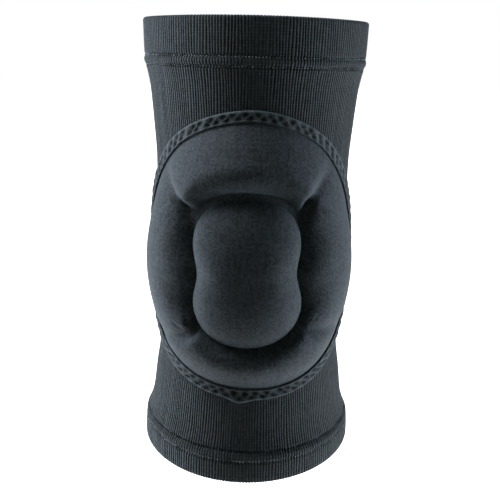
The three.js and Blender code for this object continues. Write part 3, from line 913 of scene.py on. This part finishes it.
def zigzag_pits(inset):
    """Depth share of the tape's face: each needle hole of the zigzag is a bell across the tape and along
    it. The two rows are staggered, each pit has its own depth, and on both sides the pits lean upright."""
    random = np.random.default_rng(7)
    depth = np.zeros((len(inset), TAPE_COLUMNS))
    for row in PIT_ROWS:
        number = np.arange(pits_round) + row["offset"] + random.normal(0, PIT_JITTER, pits_round)
        sizes = random.uniform(SHALLOWEST_PIT, 1.0, pits_round)
        across = inset - row["inset"]
        for middle, size in zip(number * edge_length / pits_round, sizes):
            lean = PIT_LEAN * np.cos(np.interp(middle % edge_length, edge_run, edge_angles))
            along = (tape_run - middle + edge_length / 2) % edge_length - edge_length / 2
            bell = np.exp(-((along + lean * across) / PIT_LENGTH) ** 2 - (across / PIT_WIDTH) ** 2)
            depth = np.maximum(depth, size * bell)
    return depth


print(f"binding: {edge_length:.0f} mm round, {pits_round} pits in a row")

# %% [markdown]
# ## The binding tape
# Between the pits the tape stays thick. It has a smooth outer band, a thin raised lip by the cells, and
# a small point at the bottom where its ends cross. A bevelled curve would give a round cord, so a
# profile is carried round the pad's edge: over the face, and back through the fold under the flange.

# %% Tape round the edge
TAPE_BOTTOM, TAPE_THICKNESS, TAPE_FOLD, TAPE_PLAY = 0.4, 0.7, 1.3, 0.2
EDGE_TOP, EDGE_ROUNDING = 1.85, 1.1
EDGE_INSETS, FACE_INSET, FACE_RINGS = [0.0, 0.05, 0.2, 0.45, 0.8], 1.2, 22
CORNER_INSET, CORNER = 0.1, 0.5
LIP_HEIGHT, LIP_INSET, LIP_WIDTH = 0.3, 5.35, 0.35
OUTER_BAND, BAND_BLUR, OUTER_BAND_SHADE = 1.4, 0.3, 0.25
TIP_DROP, TIP_HALF_ANGLE = 2.4, math.radians(7.5)


def smooth_step(start, end, value):
    """Goes from 0 at start to 1 at end along a cubic that is flat at both."""
    t = np.clip((value - start) / (end - start), 0, 1)
    return t * t * (3 - 2 * t)


def tape_face(inset):
    """Height of the tape's face: rounded at the outer edge, sunk in the pits, and raised again in a bell
    at the lip. Also gives the painted shade of the pits, less a paler band along the outer edge."""
    edge_round = (TAPE_TOP - EDGE_TOP) * (1 - round_over(inset / EDGE_ROUNDING))
    lip = LIP_HEIGHT * np.exp(-((inset - LIP_INSET) / LIP_WIDTH) ** 2)
    pits = zigzag_pits(inset)
    outer_band = 1 - smooth_step(OUTER_BAND - BAND_BLUR, OUTER_BAND + BAND_BLUR, inset)
    return TAPE_TOP - edge_round - PIT_DEPTH * pits + lip, pits - OUTER_BAND_SHADE * outer_band


def tip_drop(angle, inset):
    """The tape's ends cross at the bottom, where the outer edge dips to a small point."""
    from_bottom = np.abs((angle + np.pi / 2 + np.pi) % (2 * np.pi) - np.pi) / TIP_HALF_ANGLE
    near_edge = np.clip(1 - inset / BINDING_WIDTH, 0, 1)
    return TIP_DROP * np.maximum(1 - from_bottom, 0) * near_edge


open_edge = BINDING_WIDTH - TAPE_PLAY
over_flange = TAPE_TOP - TAPE_THICKNESS - TAPE_PLAY
under_flange = FLANGE_UNDERSIDE - FLANGE_STEP
under_rings = np.array(
    [
        (open_edge, over_flange), (TAPE_FOLD, over_flange), (TAPE_FOLD, under_flange),
        (open_edge, under_flange), (open_edge, TAPE_BOTTOM), (CORNER, TAPE_BOTTOM),
        (CORNER_INSET, TAPE_BOTTOM + CORNER),
    ],
    dtype=[("inset", float), ("height", float)],
)
face_insets = np.concatenate([EDGE_INSETS, np.linspace(FACE_INSET, open_edge, FACE_RINGS)])[:, None]
face_heights, face_painted_shade = tape_face(face_insets)
under_size = (len(under_rings), TAPE_COLUMNS)
tape_insets = np.concatenate([face_insets, under_rings["inset"][:, None]])
tape_heights = np.concatenate([face_heights, np.broadcast_to(under_rings["height"][:, None], under_size)])
tape_place = pad_edge(tape_angles, tape_insets)
tape_place[..., 1] -= tip_drop(tape_angles, tape_insets)
# The ring's number is enough for the UV across the tape, because its pattern only runs along it.
tape_uv = np.stack(np.meshgrid(np.append(tape_run, edge_length), np.arange(len(tape_insets) + 1)), axis=-1)
binding = cloth_mesh("edge_binding_tape", on_leg(tape_place, tape_heights), tape_uv, close_rows=True)
# The pit attribute is painted shade: it darkens the tape's colour in the needle holes, and a paler band
# runs along the outer edge.
tape_painted_shade = np.concatenate([face_painted_shade, np.zeros(under_size)]).astype(np.float32)
binding.data.attributes.new("pit", "FLOAT", "POINT").data.foreach_set("value", tape_painted_shade.ravel())

# %% [markdown]
# ## Tape cloth
# The tape is a nylon weave with fine ribs across it. Its pits are painted darker, as the shade that
# falls in them, and its smooth outer band is paler. The painted shade could be guessed again with a
# texture, but the mesh already knows where the pits are, so it hands them over as an attribute.

# %% Binding tape material
CROSS_RIB_MM, TAPE_FUZZ_MM = 0.9, 0.8


def binding_tape():
    """Black tape: fuzz and faint cross ribs, with painted shade in the pits, darker by their depth."""
    material, tree = new_material("nylon binding tape")
    along_mm, _ = weave_axes(tree)
    rib_turn = weigh(tree, 0.0, (along_mm, 2 * math.pi / CROSS_RIB_MM))
    cross_rib = add(tree, "ShaderNodeMath", {0: rib_turn}, operation="SINE")
    pit = add(tree, "ShaderNodeAttribute", attribute_name="pit").node.outputs["Fac"]
    fuzz = lint_noise(tree, TAPE_FUZZ_MM, 3.0)
    # Painted shade: the colour is darker in the pits, by their depth.
    bright = weigh(tree, 0.0, (fuzz, 1.0), (cross_rib, 0.05), (pit, -0.65))
    colour = add(tree, "ShaderNodeValToRGB", {0: bright}, stops=[(0.0, "#080909"), (0.75, "#464b4d")])
    relief = weigh(tree, 0.0, (fuzz, 1.0), (cross_rib, 0.4))
    cloth_shader(tree, colour, relief, relief_mm=0.12, roughness=0.8, sheen=0.07)
    return material


binding.data.materials.append(binding_tape())

# %% [markdown]
# ## Camera
# The camera stands where the photographer's did: in front, a little above the knee, with a long lens.
# It could be placed by eye, but a distance, a height angle and the pixel of the part's origin give the
# same picture each time. A turn of under a degree puts that pixel in place, so the lens needs no shift.

# %% Camera
ELEVATION, ROLL = math.radians(5.5), math.radians(1.4)
DISTANCE = 1.0
IMAGE_PX, FOCAL_PX = 500, 1869.0
ORIGIN_PX = (250.9, 233.9)
SENSOR_MM = 36.0
camera_data = bpy.data.cameras.new("camera")
camera_data.sensor_width = SENSOR_MM
camera_data.lens = FOCAL_PX / IMAGE_PX * SENSOR_MM
camera = bpy.data.objects.new("camera", camera_data)
bpy.context.scene.collection.objects.link(camera)
bpy.context.scene.camera = camera
right = Vector((1, 0, 0))
back = Vector((0, -math.cos(ELEVATION), math.sin(ELEVATION)))
up = back.cross(right)
image_right = right * math.cos(ROLL) + up * math.sin(ROLL)
image_up = up * math.cos(ROLL) - right * math.sin(ROLL)
aim = Vector((ORIGIN_PX[0] - IMAGE_PX / 2, IMAGE_PX / 2 - ORIGIN_PX[1], -FOCAL_PX))
nudge = aim.rotation_difference(Vector((0, 0, -1))).to_matrix()
facing = Matrix((image_right, image_up, back)).transposed() @ nudge
camera.matrix_world = Matrix.Translation(back * DISTANCE) @ facing.to_4x4()
print("camera lens in mm:", round(camera_data.lens, 1))

# %% [markdown]
# ## Floor
# The part is held up, so the floor lies well below it. In the picture it is as white as the backdrop,
# with no line between them. White paint would turn grey away from the lamps, so the floor glows by
# itself. It starts just in front of the part, which keeps its light off the front of the knit.

# %% Pale floor
FLOOR_DROP = 0.3
FLOOR_FRONT, FLOOR_BACK, FLOOR_SIDE = -0.1, 30.0, 15.0
floor_corners = np.array([
    (-FLOOR_SIDE, FLOOR_FRONT), (FLOOR_SIDE, FLOOR_FRONT),
    (FLOOR_SIDE, FLOOR_BACK), (-FLOOR_SIDE, FLOOR_BACK),
])
floor_points = np.column_stack([floor_corners, np.full(4, cad_low[2] - FLOOR_DROP)])
floor = make_piece("floor", floor_points, np.arange(4), np.array([0]), floor_corners)
floor_material, floor_tree = new_material("lit white acrylic")
floor_paint = add(floor_tree, "ShaderNodeBsdfPrincipled", {
    "Base Color": linear("#f4f4f2"), "Roughness": 0.7, "Emission Color": linear("#ffffff"),
    "Emission Strength": 1.9,
})
add(floor_tree, "ShaderNodeOutputMaterial", {"Surface": floor_paint})
floor.data.materials.append(floor_material)

# %% [markdown]
# ## Light
# The picture is bright at both sides and dark towards the camera. That is why the middle of the knit is
# almost black while its sides turn grey. An even white world would flatten it, so the world is white to
# the camera alone and lights nothing. Two tall softboxes stand low at the left and right, a third hangs
# above on the left, and a weak one in front fills the shade.

# %% Lights
world = bpy.data.worlds.new("white tent")
bpy.context.scene.world = world
world.use_nodes = True
world_tree = world.node_tree
world_tree.nodes.clear()
rays = add(world_tree, "ShaderNodeLightPath").node
dark = add(world_tree, "ShaderNodeBackground", {"Color": linear("#ffffff"), "Strength": 0.0})
backdrop = add(world_tree, "ShaderNodeBackground", {"Color": linear("#ffffff"), "Strength": 1.0})
seen = add(world_tree, "ShaderNodeMixShader", {0: rays.outputs["Is Camera Ray"], 1: dark, 2: backdrop})
add(world_tree, "ShaderNodeOutputWorld", {"Surface": seen})


def softbox(name, place, target, size, watts, colour):
    """Area light of the given width and height, turned to face its target."""
    data = bpy.data.lights.new(name, "AREA")
    data.shape = "RECTANGLE"
    data.size, data.size_y = size
    data.energy = watts
    data.color = linear(colour)[:3]
    lamp = bpy.data.objects.new(name, data)
    bpy.context.scene.collection.objects.link(lamp)
    lamp.location = place
    lamp.rotation_euler = (Vector(target) - Vector(place)).to_track_quat("-Z", "Y").to_euler()
    lamp.visible_camera = False


softbox("left softbox", (-0.95, 0.27, -0.35), (0, 0, -0.05), (0.7, 1.0), 26, "#e0efff")
softbox("right softbox", (0.99, 0.06, -0.35), (0, 0, -0.05), (0.6, 1.0), 31, "#e0efff")
softbox("top left softbox", (-0.7, -0.1, 0.75), (0, 0, 0), (0.6, 0.6), 22, "#ecf4ff")
softbox("front fill", (0, -1.3, 0.15), (0, 0, 0), (0.8, 0.8), 2.9, "#eafff2")
bpy.context.scene.view_settings.view_transform = "Standard"

# %% [markdown]
# ## Each piece and its body
# Each piece moves with the one body that the imported model has, and stands for its CAD solid, which
# is hidden.

# %% Pieces and the end
REPLACED = {
    sleeve: ("knit_sleeve", "rib_knit"),
    upper_hem: ("upper_hem", "rib_knit"),
    lower_hem: ("lower_hem", "rib_knit"),
    pad: ("bubble_pad", "pad_jersey"),
    binding: ("edge_binding", "binding_tape"),
}
for piece, (node, slot) in REPLACED.items():
    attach(piece, "root")
    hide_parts(node)
for piece in (upper_stitches, lower_stitches):
    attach(piece, "root")
